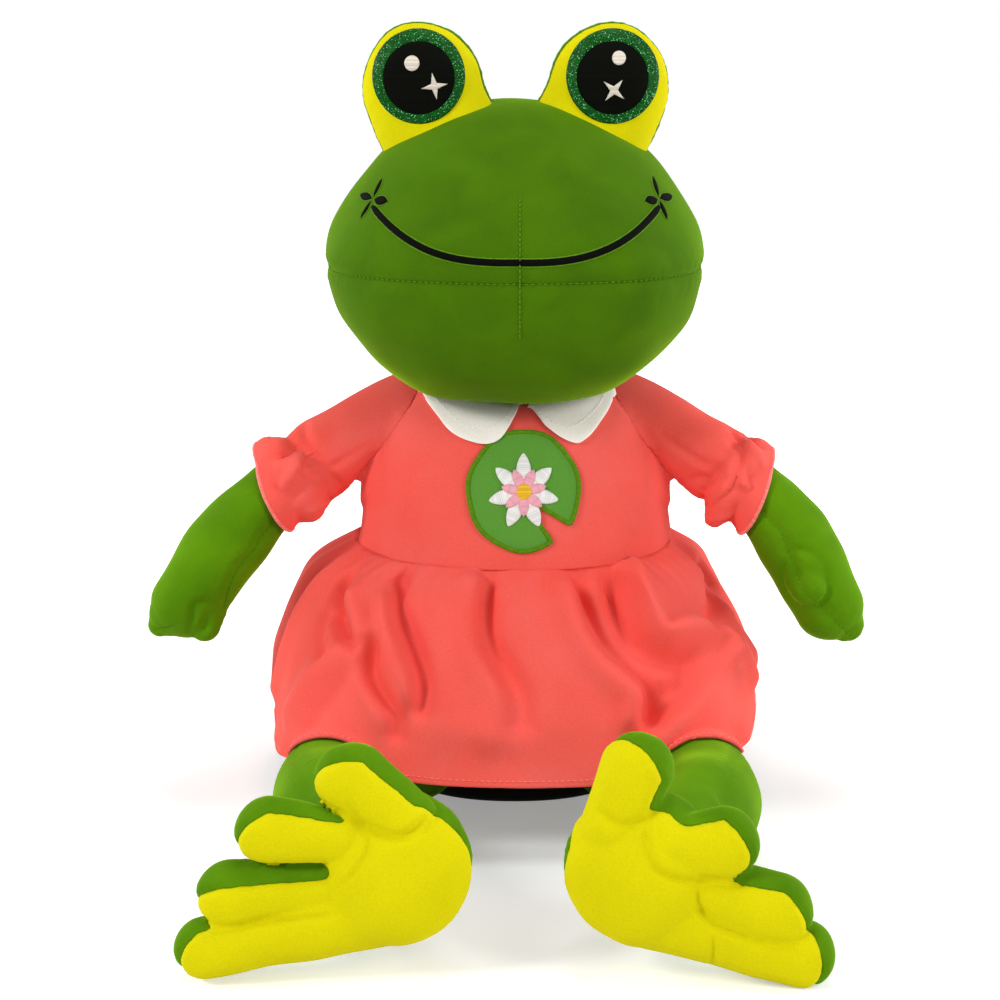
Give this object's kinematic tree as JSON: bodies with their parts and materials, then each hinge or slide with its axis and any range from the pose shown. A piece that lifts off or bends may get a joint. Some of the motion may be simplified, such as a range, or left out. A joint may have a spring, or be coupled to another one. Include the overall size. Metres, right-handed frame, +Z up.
{
  "type": "plush frog",
  "caption": "Seated plush frog in a coral dress with a white collar, long green arms and legs, big yellow-soled feet and raised yellow eyes; head, arms, legs and feet bend.",
  "frame": {"origin": "middle of the flat seat that the frog rests on", "axes": "+Z up, the frog faces -Y, its left hand is towards +X"},
  "size_m": [0.4636, 0.4876, 0.4986],
  "materials": {
    "green_plush": "short clipped pile",
    "yellow_plush": "short clipped pile",
    "coral_velour": "fine velour",
    "white_velour": "fine velour",
    "black_cloth": "plain knit",
    "black_thread": "satin stitch",
    "green_glitter": "glitter coated cloth",
    "pale_thread": "satin stitch",
    "white_thread": "satin stitch",
    "pink_thread": "satin stitch",
    "gold_thread": "satin stitch",
    "green_felt": "felt with a satin stitched edge",
    "filling": "loose polyester fibre"
  },
  "bodies": {
    "torso": {"torso_front_cover": "green_plush", "torso_back_cover": "green_plush", "seat_panel": "black_cloth", "torso_fill": "filling", "dress_bodice": "coral_velour", "dress_skirt": "coral_velour", "collar_left": "white_velour", "collar_right": "white_velour", "badge_lily_pad": "green_felt", "badge_lily_petals": "white_thread", "badge_lily_inner_petals": "pink_thread", "badge_lily_centre": "gold_thread"},
    "neck": {"neck_fill": "filling"},
    "head": {"head_crown_cover": "green_plush", "head_jaw_cover": "green_plush", "head_fill": "filling", "mouth_line": "black_thread", "mouth_corner_left": "black_thread", "mouth_corner_right": "black_thread", "eye_front_left": "yellow_plush", "eye_front_right": "yellow_plush", "eye_back_left": "green_plush", "eye_back_right": "green_plush", "eye_fill_left": "filling", "eye_fill_right": "filling", "iris_ring_left": "green_glitter", "iris_ring_right": "green_glitter", "pupil_left": "black_thread", "pupil_right": "black_thread", "glint_dot_left": "pale_thread", "glint_dot_right": "pale_thread", "glint_star_left": "pale_thread", "glint_star_right": "pale_thread"},
    "arm_left": {"arm_cover_left": "green_plush", "arm_fill_left": "filling", "sleeve_left": "coral_velour"},
    "arm_right": {"arm_cover_right": "green_plush", "arm_fill_right": "filling", "sleeve_right": "coral_velour"},
    "leg_left": {"leg_cover_left": "green_plush", "leg_fill_left": "filling"},
    "leg_right": {"leg_cover_right": "green_plush", "leg_fill_right": "filling"},
    "foot_left": {"foot_sole_left": "yellow_plush", "foot_top_left": "green_plush", "foot_fill_left": "filling"},
    "foot_right": {"foot_sole_right": "yellow_plush", "foot_top_right": "green_plush", "foot_fill_right": "filling"}
  },
  "joints": [
    {"name": "neck_nod", "type": "hinge", "parent": "torso", "child": "neck", "pos_m": [0, 0.002, 0.26], "axis": [1, 0, 0], "range_deg": [-15, 15], "stiffness_Nm_per_rad": 6},
    {"name": "neck_turn", "type": "hinge", "parent": "neck", "child": "head", "pos_m": [0, 0.002, 0.26], "axis": [0, 0, 1], "range_deg": [-35, 35], "stiffness_Nm_per_rad": 3},
    {"name": "shoulder_left", "type": "hinge", "parent": "torso", "child": "arm_left", "pos_m": [0.08374, 0, 0.24024], "axis": [0, -1, 0], "range_deg": [-8, 60], "stiffness_Nm_per_rad": 1.5, "deforming": ["sleeve_left"]},
    {"name": "shoulder_right", "type": "hinge", "parent": "torso", "child": "arm_right", "pos_m": [-0.08374, 0, 0.24024], "axis": [0, 1, 0], "range_deg": [-8, 60], "stiffness_Nm_per_rad": 1.5, "deforming": ["sleeve_right"]},
    {"name": "hip_left", "type": "hinge", "parent": "torso", "child": "leg_left", "pos_m": [0.06604, -0.06992, 0.0359], "axis": [-1, 0, 0], "range_deg": [-25, 30], "stiffness_Nm_per_rad": 6, "deforming": ["dress_skirt"]},
    {"name": "hip_right", "type": "hinge", "parent": "torso", "child": "leg_right", "pos_m": [-0.06604, -0.06992, 0.0359], "axis": [-1, 0, 0], "range_deg": [-25, 30], "stiffness_Nm_per_rad": 6, "deforming": ["dress_skirt"]},
    {"name": "ankle_left", "type": "hinge", "parent": "leg_left", "child": "foot_left", "pos_m": [0.06604, -0.28792, 0.0559], "axis": [-1, 0, 0], "range_deg": [-12, 15], "stiffness_Nm_per_rad": 2},
    {"name": "ankle_right", "type": "hinge", "parent": "leg_right", "child": "foot_right", "pos_m": [-0.06604, -0.28792, 0.0559], "axis": [-1, 0, 0], "range_deg": [-12, 15], "stiffness_Nm_per_rad": 2}
  ]
}
